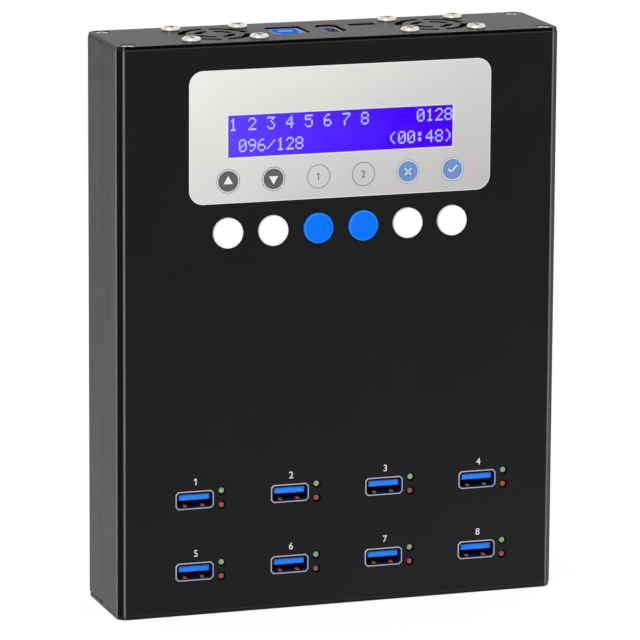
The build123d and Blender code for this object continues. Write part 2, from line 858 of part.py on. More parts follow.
with BuildPart() as fan_stators:
    with BuildSketch(Plane.XY.offset(fan_bottom + fan_base_thickness)):
        with Locations((-fan_offset, 0), (fan_offset, 0)):
            Circle(stator_radius)
            Circle(bearing_tube_radius + screw_fit, mode=Mode.SUBTRACT)
    extrude(amount=stator_height)
fan_stators.part.label = "fan_stators"
export_step(fan_stators.part, "parts/fan_stators.step")

# Domed fan screws with a cross recess
with BuildPart() as fan_screws:
    with BuildSketch(Plane.XY.offset(case_height)):
        with Locations(*fan_screw_points):
            Circle(fan_head_radius)
    extrude(amount=fan_head_height)
    fillet(fan_screws.edges().group_by(Axis.Z)[-1], fan_head_dome)
    with BuildSketch(Plane.XY.offset(screw_end_level)):
        with Locations(*fan_screw_points):
            Circle(fan_screw_radius)
    extrude(amount=case_height - screw_end_level)
    with BuildSketch(Plane.XY.offset(case_height + fan_head_height - fan_recess_depth)):
        with Locations(*fan_screw_points):
            Rectangle(fan_recess_length, fan_recess_width)
            Rectangle(fan_recess_width, fan_recess_length)
    extrude(amount=fan_recess_depth, mode=Mode.SUBTRACT)
fan_screws.part.label = "fan_screws"
export_step(fan_screws.part, "parts/fan_screws.step")

with BuildPart() as fan_nuts:
    with BuildSketch(Plane.XY.offset(nut_bottom)):
        with Locations(*fan_screw_points):
            RegularPolygon(fan_nut_width / 2, 6, major_radius=False)
            Circle(fan_screw_radius + screw_fit, mode=Mode.SUBTRACT)
    extrude(amount=fan_nut_height)
fan_nuts.part.label = "fan_nuts"
export_step(fan_nuts.part, "parts/fan_nuts.step")

# Square link socket in the top plate
leg_y = (top_port_back + main_board_front) / 2
with BuildPart() as link_port_shell:
    with BuildSketch(Plane.XY.offset(link_port_bottom)):
        with Locations((link_port_x, link_port_y)):
            Rectangle(link_port_width, link_port_depth)
            Rectangle(
                link_port_width - 2 * link_port_wall,
                link_port_depth - 2 * link_port_wall,
                mode=Mode.SUBTRACT,
            )
    extrude(amount=link_port_length)
    with BuildSketch(Plane.XY.offset(link_port_bottom)):
        with Locations((link_port_x, leg_y)):
            with GridLocations(link_port_width - leg_width, 0, 2, 1):
                Rectangle(leg_width, top_port_stand)
    extrude(amount=link_port_length / 2)
link_port_shell.part.label = "link_port_shell"
export_step(link_port_shell.part, "parts/link_port_shell.step")

link_insert_width = link_port_width - 2 * (link_port_wall + screw_fit)
link_insert_depth = link_port_depth - 2 * (link_port_wall + screw_fit)
link_cavity_y = link_port_y + link_insert_depth / 2 - link_port_wall - link_cavity_depth / 2
link_step_y = link_cavity_y - (link_cavity_depth + link_step_depth) / 2
with BuildPart() as link_port_insert:
    with BuildSketch(Plane.XY.offset(link_port_bottom)):
        with Locations((link_port_x, link_port_y)):
            Rectangle(link_insert_width, link_insert_depth)
    extrude(amount=link_port_length - screw_fit)
    with BuildSketch(Plane.XY.offset(top_port_top - link_cavity_length)):
        with Locations((link_port_x, link_cavity_y)):
            Rectangle(link_cavity_width, link_cavity_depth)
            Rectangle(link_core_width, link_core_depth, mode=Mode.SUBTRACT)
        with Locations((link_port_x, link_step_y)):
            Rectangle(link_step_width, link_step_depth)
    extrude(amount=link_cavity_length, mode=Mode.SUBTRACT)
link_port_insert.part.label = "link_port_insert"
export_step(link_port_insert.part, "parts/link_port_insert.step")

# Flat host socket standing on its edge in the top plate
host_port_bottom = top_port_top - host_port_length
with BuildPart() as host_port_shell:
    with BuildSketch(Plane.XY.offset(host_port_bottom)):
        with Locations((host_port_x, host_port_y)):
            add(socket_section(host_port_width, host_port_depth, socket_corner))
            add(
                socket_section(socket_inner_height, socket_inner_width, socket_corner - socket_wall / 2),
                mode=Mode.SUBTRACT,
            )
    extrude(amount=host_port_length)
    with BuildSketch(Plane.XY.offset(host_port_bottom)):
        with Locations((host_port_x, leg_y)):
            Rectangle(leg_width, top_port_stand)
    extrude(amount=host_port_length / 2)
host_port_shell.part.label = "host_port_shell"
export_step(host_port_shell.part, "parts/host_port_shell.step")

with BuildPart() as host_port_tongue:
    with BuildSketch(Plane.XY.offset(host_port_bottom)):
        with Locations((host_port_x, host_port_y)):
            Rectangle(socket_inner_height - 2 * screw_fit, socket_inner_width - 2 * socket_corner)
            Rectangle(socket_inner_height - 2 * socket_corner, socket_inner_width - 2 * screw_fit)
    extrude(amount=socket_floor)
    with BuildSketch(Plane.XY.offset(host_port_bottom)):
        with Locations((host_port_x - tongue_rise, host_port_y)):
            Rectangle(tongue_height, tongue_width)
    extrude(amount=host_port_length - tongue_recess)
host_port_tongue.part.label = "host_port_tongue"
export_step(host_port_tongue.part, "parts/host_port_tongue.step")

# Small power inlet, set deeper behind its slot
inlet_bottom = case_height - inlet_recess - inlet_length
with BuildPart() as inlet_shell:
    with BuildSketch(Plane.XY.offset(inlet_bottom)):
        with Locations((inlet_x, inlet_y)):
            SlotOverall(inlet_width, inlet_depth)
            SlotOverall(inlet_width - 2 * inlet_wall, inlet_depth - 2 * inlet_wall, mode=Mode.SUBTRACT)
    extrude(amount=inlet_length)
    with BuildSketch(Plane.XY.offset(inlet_bottom)):
        with Locations((inlet_x, leg_y)):
            Rectangle(leg_width, top_port_stand)
    extrude(amount=inlet_length / 2)
inlet_shell.part.label = "inlet_shell"
export_step(inlet_shell.part, "parts/inlet_shell.step")

with BuildPart() as inlet_tongue:
    with BuildSketch(Plane.XY.offset(inlet_bottom)):
        with Locations((inlet_x, inlet_y)):
            SlotOverall(
                inlet_width - 2 * (inlet_wall + screw_fit),
                inlet_depth - 2 * (inlet_wall + screw_fit),
            )
    extrude(amount=inlet_floor)
    with BuildSketch(Plane.XY.offset(inlet_bottom)):
        with Locations((inlet_x, inlet_y)):
            Rectangle(inlet_tongue_width, inlet_tongue_thickness)
    extrude(amount=inlet_length - inlet_floor)
inlet_tongue.part.label = "inlet_tongue"
export_step(inlet_tongue.part, "parts/inlet_tongue.step")

# Fan leads, from the underside of each fan to a socket on the main board
lead_socket_y = main_board_front - lead_socket_depth / 2
lead_socket_top = fan_bottom - 2 * lead_drop - lead_slope
lead_profile = [
    (lead_start, fan_bottom),
    (lead_start, fan_bottom - lead_drop),
    (lead_socket_y, lead_socket_top + lead_drop),
    (lead_socket_y, lead_socket_top),
]


def bend_radii(points):
    """Largest arc that the two runs beside each corner leave room for."""
    runs = [Vector(*end) - Vector(*start) for start, end in zip(points, points[1:])]
    return [
        0.45 * min(before.length, after.length) / tan(radians(before.get_angle(after) / 2))
        for before, after in zip(runs, runs[1:])
    ]


with BuildPart() as fan_leads:
    for fan_x in (-fan_offset, fan_offset):
        route = [(fan_x, y, level) for y, level in lead_profile]
        radii = bend_radii(route)
        print("fan lead radii", [round(radius, 2) for radius in radii])
        with BuildLine():
            path = FilletPolyline(*route, radius=radii)
        with BuildSketch(Plane(route[0], z_dir=(0, 0, -1))):
            Circle(lead_radius)
        sweep(path=path)
fan_leads.part.label = "fan_leads"
export_step(fan_leads.part, "parts/fan_leads.step")

with BuildPart() as fan_lead_sockets:
    with BuildSketch(Plane.XY.offset(lead_socket_top - lead_socket_height)):
        with Locations((-fan_offset, lead_socket_y), (fan_offset, lead_socket_y)):
            Rectangle(lead_socket_width, lead_socket_depth)
    extrude(amount=lead_socket_height)
fan_lead_sockets.part.label = "fan_lead_sockets"
export_step(fan_lead_sockets.part, "parts/fan_lead_sockets.step")

# Rubber feet, stuck to the back so that the case can also lie flat
foot_points = [
    (x, level)
    for x in (foot_inset - case_width / 2, case_width / 2 - foot_inset)
    for level in (foot_inset, case_height - foot_inset)
]
with BuildPart() as rubber_feet:
    with BuildSketch(facing(back + foot_height)):
        with Locations(*foot_points):
            Circle(foot_radius)
    extrude(amount=foot_height)
    fillet(rubber_feet.edges().group_by(Axis.Y)[-1], foot_round)
rubber_feet.part.label = "rubber_feet"
export_step(rubber_feet.part, "parts/rubber_feet.step")
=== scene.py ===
"""Finished look of an upright duplicator: anodised case, printed label, lit display, buttons and sockets."""
import json
import math

import bmesh
import bpy
from mathutils import Matrix, Vector

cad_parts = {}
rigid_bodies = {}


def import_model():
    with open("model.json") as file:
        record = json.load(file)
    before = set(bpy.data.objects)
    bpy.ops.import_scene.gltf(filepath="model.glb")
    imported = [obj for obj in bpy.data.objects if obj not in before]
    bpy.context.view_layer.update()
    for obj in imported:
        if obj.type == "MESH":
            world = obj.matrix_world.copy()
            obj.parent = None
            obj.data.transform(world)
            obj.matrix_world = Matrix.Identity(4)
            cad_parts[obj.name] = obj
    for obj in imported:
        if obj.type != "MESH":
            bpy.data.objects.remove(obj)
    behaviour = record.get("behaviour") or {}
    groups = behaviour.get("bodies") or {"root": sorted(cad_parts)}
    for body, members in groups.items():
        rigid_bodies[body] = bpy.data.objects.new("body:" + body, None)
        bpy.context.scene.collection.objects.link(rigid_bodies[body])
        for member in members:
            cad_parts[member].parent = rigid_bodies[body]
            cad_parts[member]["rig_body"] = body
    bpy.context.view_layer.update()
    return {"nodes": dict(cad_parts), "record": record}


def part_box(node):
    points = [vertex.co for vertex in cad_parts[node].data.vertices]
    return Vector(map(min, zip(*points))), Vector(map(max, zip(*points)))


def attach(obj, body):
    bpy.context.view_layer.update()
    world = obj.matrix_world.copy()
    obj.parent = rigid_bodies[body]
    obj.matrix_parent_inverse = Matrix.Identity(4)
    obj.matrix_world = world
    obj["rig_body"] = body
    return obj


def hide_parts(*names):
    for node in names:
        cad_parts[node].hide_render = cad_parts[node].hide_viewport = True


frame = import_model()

mm = 0.001

# Meshes: how close points are merged, the angles that count as flat or sharp, and the steps of round shapes
merge_distance = 0.001 * mm
flat_angle = math.radians(0.5)
sharp_angle = math.radians(32)
shading_angle = math.radians(40)
round_segments = 48
ring_segments = 64

# Width of the broken edge on each frame node that gets one
edge_widths = {
    "control_label": 0.12 * mm,
    "upper_port_shells": 0.13 * mm,
    "upper_port_tongues": 0.12 * mm,
    "lower_port_shells": 0.13 * mm,
    "lower_port_tongues": 0.12 * mm,
    "fan_screws": 0.1 * mm,
    "top_plate_screws": 0.08 * mm,
    "bottom_plate_screws": 0.08 * mm,
    "link_port_shell": 0.1 * mm,
    "link_port_insert": 0.12 * mm,
    "host_port_shell": 0.13 * mm,
    "host_port_tongue": 0.12 * mm,
    "inlet_shell": 0.08 * mm,
    "rubber_feet": 0.3 * mm,
}

# Case: the chamfer of its long edges, rubbed to the metal along them with a painted highlight, and the dark
# lines of painted shade at chamfers and plates
case_chamfer = 2.2 * mm
edge_wear_and_highlight_width = 0.42 * mm
chamfer_line = 0.25 * mm
plate_line = 0.5 * mm
rear_gap_height = 0.3 * mm

# Width over which a crisp border between two colours blends
crisp = 0.05 * mm

# Label: its corners, the white line round its edge, which is a painted highlight, and the one round the
# display window
label_corner = 5.0 * mm
label_edge_line = 0.3 * mm
label_window_line = 0.42 * mm

# Button caps, from left to right: a domed front, a flange behind the wall and a post at the back
button_names = ("up", "down", "one", "two", "cancel", "enter")
blue_buttons = ("one", "two")
cap_flange_width = 0.9 * mm
cap_flange_thickness = 1.0 * mm
cap_skin = 1.2 * mm
cap_dome = 0.15 * mm
cap_dome_steps = 6
cap_edge_round = 0.45 * mm
cap_post_radius = 1.9 * mm
cap_post_reach = 0.6 * mm
cap_pale_rim = 0.6 * mm
cap_pale_depth = 0.8 * mm

# Signs printed on the label, under the display
print_thickness = 0.05 * mm
sign_level_below_window = 8.1 * mm
sign_ring_radius = 4.15 * mm
sign_ring_line = 0.22 * mm
sign_disc_radius = 3.55 * mm
sign_gap_radius = 3.9 * mm
sign_gap_line = 0.28 * mm
sign_arrow_radius = 1.9 * mm
sign_figure_height = 2.4 * mm

# Strokes of the cross and of the tick, with their places from the middle of the sign
sign_stroke = 0.42 * mm
cross_length = 3.2 * mm
tick_short_length = 1.5 * mm
tick_short_place = Vector((-1.05, -0.35)) * mm
tick_long_length = 3.0 * mm
tick_long_place = Vector((0.6, 0.2)) * mm

# Numbers printed on the case, over the front sockets
number_height = 2.35 * mm
number_rise = 6.3 * mm
number_shift = 0.5 * mm

# Printed figures: how much bolder they are than the font, and the flag of the 1, in shares of its height
figure_boldness = 0.004
flag_length = 0.36
flag_width = 0.14
flag_place = (-0.16, 0.34)
flag_slope = math.radians(40)

# Characters of the display: 24 columns, 2 lines, 5 by 7 dots each
display_lines = ("1 2 3 4 5 6 7 8     0128", " 096/128         (00:48)")
character_pitch = 3.35 * mm
line_pitch = 7.35 * mm
dot_pitch_x = 0.56 * mm
dot_pitch_z = 0.62 * mm
dot_fill = 0.97
first_line_drop = 1.0 * mm

# Viewing area of the display: how far right of its window's middle it stands, and how far below; the dark
# strip this leaves along the window's left and top edges is painted shadow of the recess
display_shift = 0.35 * mm
display_drop = 0.175 * mm

# Front sockets: two rows of shells with a bright rim round the mouth and a tongue across it, and painted
# shade inside them and round the tongue
socket_rows = ("upper", "lower")
socket_columns = 4
socket_pitch = 34.2 * mm
socket_width = 13.7 * mm
socket_corner = 1.6 * mm
socket_rim = 0.34 * mm
tongue_width = 11.1 * mm
tongue_top = 2.0 * mm
tongue_shadow = 0.7 * mm

# Lamps beside the sockets: the flange behind the wall, and the bright middle of the lens, round which lies a
# painted shadow of the hole
lamp_flange_radius = 1.5 * mm
lamp_bright_radius = 0.98 * mm

# Contact springs on the floor of each front socket
spring_width = 1.3 * mm
spring_spacing = 6.2 * mm
spring_length = 6.0 * mm
spring_height = 0.7 * mm
spring_thickness = 0.2 * mm
spring_steps = 12

# Arch of a spring: how much of it is passed at the mouth and per length, and how slender it is
spring_arch_start = 0.12
spring_arch_rate = 1.15
spring_arch_power = 1.5

# Screws: how far beside the middle a group stands, the radii, and from where to where the recess carries
# painted shadow
fan_screw = dict(group_x=39.0 * mm, head_radius=3.3 * mm, recess_radius=2.2 * mm, bright_radius=3.3 * mm)
plate_screw = dict(group_x=0.0, head_radius=2.5 * mm, recess_radius=1.8 * mm, bright_radius=2.15 * mm)
screw_recess_start = 0.1 * mm
screw_recess_end = 1.2 * mm

# Studio: a white floor, even light all round and one large lamp
floor_reach = 12.0
floor_drop = 0.1 * mm
floor_white_share = 0.86
floor_white_strength = 1.05
sky_strength = 0.84
softbox_size = 1.2
softbox_power = 16.0
softbox_place = Vector((-1.1, -1.5, 1.5))
softbox_aim = Vector((0, 0, 0.1))

# Camera, fitted to the corners, lamps, buttons and screws
camera_lens = 293.0
camera_sensor = 36.0
camera_distance = 1.8
camera_yaw = 0.3241
camera_pitch = 0.21
camera_roll = 0.006
camera_aim = Vector((-0.73, 0, 96.45)) * mm
camera_near = 0.05
camera_far = 60.0

# Dots of the display's characters, row by row from the top
glyphs = {
    "0": ".###. #...# #..## #.#.# ##..# #...# .###.",
    "1": "..#.. .##.. ..#.. ..#.. ..#.. ..#.. .###.",
    "2": ".###. #...# ....# ...#. ..#.. .#... #####",
    "3": "##### ...#. ..#.. ...#. ....# #...# .###.",
    "4": "...#. ..##. .#.#. #..#. ##### ...#. ...#.",
    "5": "##### #.... ####. ....# ....# #...# .###.",
    "6": "..##. .#... #.... ####. #...# #...# .###.",
    "7": "##### ....# ...#. ..#.. .#... .#... .#...",
    "8": ".###. #...# #...# .###. #...# #...# .###.",
    "9": ".###. #...# #...# .#### ....# ...#. .##..",
    "/": "..... ....# ...#. ..#.. .#... #.... .....",
    ":": "..... .##.. .##.. ..... .##.. .##.. .....",
    "(": "...#. ..#.. .#... .#... .#... ..#.. ...#.",
    ")": ".#... ..#.. ...#. ...#. ...#. ..#.. .#...",
}


# Measures of the frame's nodes

def middle_of(node):
    """Middle of a frame node's box."""
    low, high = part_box(node)
    return (low + high) / 2


def half_size_of(node):
    """Half the width, depth and height of a frame node's box."""
    low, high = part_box(node)
    return (high - low) / 2


socket_row_pitch = middle_of("upper_port_shells").z - middle_of("lower_port_shells").z


# Node trees, written as expressions

class Value:
    """An output in a node tree; arithmetic on it adds Math nodes."""

    def __init__(self, tree, socket):
        self.tree = tree
        self.socket = socket

    def math(self, operation, *operands):
        return self.tree.node("ShaderNodeMath", {"operation": operation}, dict(enumerate(operands)))

    def __add__(self, other):
        return self.math("ADD", self, other)

    def __radd__(self, other):
        return self.math("ADD", other, self)

    def __sub__(self, other):
        return self.math("SUBTRACT", self, other)

    def __rsub__(self, other):
        return self.math("SUBTRACT", other, self)

    def __mul__(self, other):
        return self.math("MULTIPLY", self, other)

    def __rmul__(self, other):
        return self.math("MULTIPLY", other, self)

    def __truediv__(self, other):
        return self.math("DIVIDE", self, other)

    def __pow__(self, other):
        return self.math("POWER", self, other)

    def __abs__(self):
        return self.math("ABSOLUTE", self)

    def at_least(self, other):
        return self.math("MAXIMUM", self, other)

    def at_most(self, other):
        return self.math("MINIMUM", self, other)

    def clamped(self):
        """Kept between 0 and 1."""
        return self.tree.node("ShaderNodeClamp", {}, {"Value": self})

    def past(self, start, blend):
        """0 up to a start, and 1 from a blend beyond it."""
        return ((self - start) / blend).clamped()

    def short_of(self, end, blend):
        """1 up to a blend before an end, and 0 from the end on."""
        return ((end - self) / blend).clamped()

    def share(self, start, end):
        """How much of the way from a start to an end, as 0 to 1."""
        return (self - start) / (end - start)

    def from_nearest(self, pitch):
        """Distance to the nearest whole number of pitches."""
        return self.math("PINGPONG", self, pitch / 2)


class NodeTree:
    """The node tree of a material or a world, in the making."""

    def __init__(self, owner):
        owner.use_nodes = True
        self.nodes = owner.node_tree.nodes
        self.links = owner.node_tree.links

    def node(self, kind, settings=None, inputs=None, output=0):
        """Adds a node of any kind: its settings first, then its sockets; returns one output."""
        added = self.nodes.new(kind)
        for name, value in (settings or {}).items():
            setattr(added, name, value)
        self.feed(added, inputs or {})
        return Value(self, added.outputs[output])

    def feed(self, target, inputs):
        """Sets or links each named socket of a node."""
        for name, value in inputs.items():
            if isinstance(value, Value):
                self.links.new(value.socket, target.inputs[name])
            else:
                target.inputs[name].default_value = value

    def show_white(self, lit, white, share, output):
        """Ends the tree in a lit shader, mixed by a share with white where camera, gloss or glass see it."""
        rays = ("Is Camera Ray", "Is Glossy Ray", "Is Transmission Ray")
        in_view, in_gloss, in_glass = [self.node("ShaderNodeLightPath", output=ray) for ray in rays]
        factor = share * in_view.at_least(in_gloss).at_least(in_glass)
        mixed = self.node("ShaderNodeMixShader", {}, {0: factor, 1: Value(self, lit.outputs[0]), 2: white})
        self.feed(self.nodes[output], {"Surface": mixed})


class Finish(NodeTree):
    """A material in the making, round one Principled shader."""

    def __init__(self, name):
        self.material = bpy.data.materials.new(name)
        super().__init__(self.material)
        self.shader = self.nodes["Principled BSDF"]
        self.place = self.node("ShaderNodeTexCoord", output="Object")

    def axes(self, letters="XYZ"):
        """Coordinates of the point being shaded, in metres."""
        return [self.node("ShaderNodeSeparateXYZ", {}, {0: self.place}, output=axis) for axis in letters]

    def noise(self, size, detail=2.0):
        """Noise from about 0.3 to 0.7, with features of one size."""
        sockets = {"Vector": self.place, "Scale": 1 / size, "Detail": detail}
        return self.node("ShaderNodeTexNoise", {}, sockets)

    def streaks(self, per_metre, detail):
        """Noise with another number of features per metre along each axis."""
        drawn = self.node("ShaderNodeMapping", {}, {"Vector": self.place, "Scale": per_metre})
        return self.node("ShaderNodeTexNoise", {}, {"Vector": drawn, "Scale": 1.0, "Detail": detail})

    def mix(self, factor, first, second):
        """One colour where the factor is 0, another where it is 1.

        The node's sockets 6 and 7 and its output 2 are the ones for colours.
        """
        return self.node("ShaderNodeMix", {"data_type": "RGBA"}, {0: factor, 6: first, 7: second}, output=2)

    def bump(self, height, depth, strength=0.3):
        """A normal bent by a height from 0 to 1 that stands for a depth."""
        return self.node("ShaderNodeBump", {}, {"Strength": strength, "Distance": depth, "Height": height})

    def done(self, **sockets):
        """Feeds the shader's sockets, named with underscores, and returns the material."""
        self.feed(self.shader, {name.replace("_", " "): value for name, value in sockets.items()})
        return self.material


# Colours and distances

def colour(red, green, blue):
    """A colour written as on a screen, 0 to 255, turned into the shader's linear values."""
    parts = [part / 255 for part in (red, green, blue)]
    return (*[part / 12.92 if part < 0.04045 else ((part + 0.055) / 1.055) ** 2.4 for part in parts], 1)


def distance(across, up):
    """Length of the line between two points, from its two square parts."""
    return (across ** 2 + up ** 2) ** 0.5


def inside_outline(across, up, half_width, half_height, corner):
    """How far a point lies inside a rectangle with round corners, up to the corners' radius."""
    over_side = (across - half_width + corner).at_least(0.0)
    over_end = (up - half_height + corner).at_least(0.0)
    return corner - distance(over_side, over_end)


def worn(from_edge, width):
    """1 along an edge that is rubbed to the metal and carries a painted highlight, and 0 from about a fifth
    beyond a width from it.
    """
    return (1.4 - (from_edge / width) ** 2).clamped()


# Finishes

def case_wear(x, y, z):
    """How far the edges of the case are rubbed to the metal and carry a painted highlight, from 0 to 1: the
    long ones more than the ends.
    """
    low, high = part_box("front_shell")
    across, along = abs(x), abs(y)
    half_depth = -low.y
    from_front = distance(across - (high.x - case_chamfer), along - half_depth)
    from_side = distance(across - high.x, along - (half_depth - case_chamfer))
    from_end = distance(y - low.y, abs(z - middle_of("front_shell").z) - half_size_of("front_shell").z)
    return worn(from_front.at_most(from_side), edge_wear_and_highlight_width).at_least(0.4 * worn(from_end, edge_wear_and_highlight_width / 2))


def case_shade(x, y, z):
    """How dark the case is with painted shade: a painted dark reflection on its chamfers, and painted shadow
    at the top plate's rim and in the gap under the rear shell.
    """
    low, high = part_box("front_shell")
    rear_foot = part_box("rear_shell")[0].z
    chamfer_start = high.x - low.y - case_chamfer - chamfer_line
    on_chamfer = (abs(x) + abs(y)).past(chamfer_start, 0.2 * mm)
    plate_rim = z.past(high.z, crisp) * y.short_of(low.y + plate_line, 0.1 * mm)
    under_rear_shell = z.past(low.z - rear_gap_height, crisp) * z.short_of(rear_foot, crisp)
    rear_gap = under_rear_shell * y.past(high.y, crisp)
    return (0.6 * on_chamfer).at_least(0.95 * plate_rim.at_least(rear_gap))


def anodised_black():
    """Fine bead-blasted black anodising: cloudy, paler towards the lower right as painted light from the
    floor, with edges rubbed to the metal that also carry a painted highlight.

    It is rougher towards the top. Its dark lines of painted shade are metallic: a metal reflects no more than
    its colour.
    """
    finish = Finish("anodised_black")
    low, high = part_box("front_shell")
    x, y, z = finish.axes()
    # Edges rubbed to the metal, which also carry a painted highlight of their rounding
    wear_and_highlight = case_wear(x, y, z)
    # Painted shade on the chamfers, at the top plate's rim and in the gap under the rear shell
    shade = case_shade(x, y, z) * (1.0 - wear_and_highlight)
    cloud = finish.noise(26 * mm, 3.0)
    grain = finish.noise(0.25 * mm)
    scuffs = finish.noise(3.5 * mm, 4.0)
    dust = finish.noise(0.6 * mm, 1.0).past(0.74, 0.04)
    drawn = finish.streaks((700.0, 700.0, 18.0), 3.0)
    # Painted light: paler towards the lower right, where the floor lights the face and is reflected in it
    painted_floor_light = z.share(high.z, low.z) ** 2 * (0.45 + 0.35 * x.share(low.x, high.x))
    paler = (0.12 + 0.3 * (cloud - 0.5) + painted_floor_light).clamped()
    face = finish.mix(paler.at_least(dust), colour(9, 10, 12), colour(27, 28, 30))
    bare_metal_and_highlight = finish.mix(grain, colour(92, 93, 95), colour(120, 121, 122))
    return finish.done(
        Base_Color=finish.mix(wear_and_highlight * (0.65 + 0.7 * scuffs), finish.mix(shade, face, colour(9, 9, 10)), bare_metal_and_highlight),
        Metallic=shade,
        Roughness=(0.17 + 0.3 * z + 0.08 * grain + 0.06 * cloud + 0.06 * scuffs + 0.1 * drawn).clamped(),
        Specular_IOR_Level=0.125,
        Normal=finish.bump(grain, 0.012 * mm, 0.35),
    )


def plain_metal(name, dark, light, roughness, grain_size):
    """Bare or plated metal with a fine grain, and with polish that varies over nine times its size."""
    finish = Finish(name)
    grain = finish.noise(grain_size)
    polish = finish.noise(grain_size * 9, 3.0)
    return finish.done(
        Base_Color=finish.mix(polish, dark, light),
        Metallic=1.0,
        Roughness=(roughness - 0.08 + 0.16 * polish + 0.04 * grain).clamped(),
        Normal=finish.bump(grain, 0.004 * mm),
    )


def moulded(name, dark, light, roughness, speck=0.4 * mm, depth=0.006 * mm):
    """Moulded plastic or thick print: a fine grain, and a faint mottle fourteen times as large."""
    finish = Finish(name)
    grain = finish.noise(speck)
    mottle = finish.noise(speck * 14, 3.0)
    return finish.done(
        Base_Color=finish.mix(mottle, dark, light),
        Roughness=(roughness - 0.06 + 0.12 * mottle).clamped(),
        Normal=finish.bump(grain, depth),
    )


def printed(name, dark, light):
    """Print on the label or the case."""
    return moulded(name, dark, light, 0.5, 0.2 * mm, 0.002 * mm)


def label_silver():
    """Satin silver print, darker towards the lower right as painted shade, with a white line round its edge
    as a painted highlight, and a white line round the display window.
    """
    finish = Finish("label_silver")
    low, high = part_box("control_label")
    middle = middle_of("control_label")
    label, window = half_size_of("control_label"), half_size_of("display_window")
    x, z = finish.axes("XZ")
    across = abs(x - middle.x)
    up = abs(z - middle.z)
    inside = inside_outline(across, up, label.x, label.z, label_corner)
    off_window = (across - window.x).at_least(up - window.z)
    # The white line round the label's edge is a painted highlight of its rounded edge
    round_edge = inside.short_of(label_edge_line, 0.1 * mm)
    round_window = off_window.short_of(label_window_line, 0.08 * mm)
    brushed = finish.streaks((90.0, 3.0, 4800.0), 2.0)
    cloud = finish.noise(30 * mm)
    # Painted reflection: the silver darkens towards the right and the bottom
    shade = (0.6 * x.share(low.x, high.x) + 0.5 * z.share(high.z, low.z) + 0.3 * (cloud - 0.5)).clamped()
    silver = finish.mix(shade, colour(234, 234, 231), colour(191, 188, 187))
    return finish.done(
        Base_Color=finish.mix(round_edge.at_least(round_window), silver, colour(240, 239, 242)),
        Metallic=0.12,
        Roughness=(0.42 + 0.12 * brushed).clamped(),
        Normal=finish.bump(brushed, 0.004 * mm, 0.4),
    )


def display_blue():
    """Lit blue panel, paler towards its lamp at the left, black outside its viewing area: a dark strip along
    the window's left and top edges is painted shadow of the recess.
    """
    finish = Finish("display_blue")
    low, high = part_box("display_window")
    middle, window = middle_of("display_window"), half_size_of("display_window")
    x, z = finish.axes("XZ")
    right_way = x.share(low.x, high.x).clamped()
    cloud = finish.noise(9 * mm)
    fade = (1.0 - (1.0 - right_way) ** 2 + 0.3 * (cloud - 0.5)).clamped()
    lit = finish.mix(fade, colour(99, 67, 250), colour(72, 4, 255))
    # The viewing area is set right of and below the window, so a dark strip of painted shadow of the recess
    # runs along the window's left and top edges
    off_side = abs(x - middle.x - display_shift) - window.x
    off_end = abs(z - middle.z + display_drop) - window.z
    outside = off_side.at_least(off_end).past(0.0, crisp)
    return finish.done(
        Base_Color=colour(10, 4, 40),
        Roughness=0.5,
        Emission_Color=finish.mix(outside, lit, colour(6, 2, 30)),
        Emission_Strength=0.96,
    )


def display_characters():
    """Pale dots of the display."""
    finish = Finish("display_characters")
    grain = finish.noise(1.2 * mm)
    return finish.done(
        Base_Color=colour(30, 28, 60),
        Roughness=0.6,
        Emission_Color=finish.mix(grain, colour(178, 180, 252), colour(200, 204, 255)),
        Emission_Strength=0.96,
    )


def clear_pane():
    """Clear cover of the display."""
    finish = Finish("clear_pane")
    haze = finish.noise(6 * mm)
    return finish.done(
        Base_Color=colour(250, 250, 255),
        Transmission_Weight=1.0,
        IOR=1.08,
        Roughness=0.03 * haze,
    )


def cap_blue():
    """Blue button cap, paler round its rim where light passes through the thin edge."""
    finish = Finish("cap_blue")
    one, two = middle_of("button_one"), middle_of("button_two")
    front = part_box("button_one")[0].y
    radius = half_size_of("button_one").x - cap_flange_width
    x, y, z = finish.axes()
    from_axis = distance((x - one.x).from_nearest(two.x - one.x), z - one.z)
    at_edge = from_axis.past(radius - cap_pale_rim, 0.3 * mm)
    rim = at_edge * y.short_of(front + cap_pale_depth, 0.25 * mm)
    mottle = finish.noise(4 * mm)
    flat = finish.mix(mottle, colour(0, 110, 246), colour(0, 118, 255))
    return finish.done(
        Base_Color=finish.mix(rim, flat, colour(40, 140, 255)),
        Roughness=(0.32 + 0.1 * mottle).clamped(),
        Specular_IOR_Level=0.08,
        Normal=finish.bump(finish.noise(0.35 * mm), 0.004 * mm),
    )


def at_front_sockets(z):
    """1 at the front sockets, which are lower than the label, and 0 at the top sockets."""
    return z.short_of(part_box("control_label")[0].z, 1 * mm)


def from_nearest_copy(x, z, first_x, first_z):
    """How far a point lies beside, and above or below, what stands once at each front socket."""
    return (x - first_x).from_nearest(socket_pitch), (z - first_z).from_nearest(socket_row_pitch)


def from_socket_middle(x, z):
    """How far a point lies beside, and above or below, the middle of the nearest front socket."""
    first_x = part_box("lower_port_shells")[0].x + socket_width / 2
    return from_nearest_copy(x, z, first_x, middle_of("lower_port_shells").z)


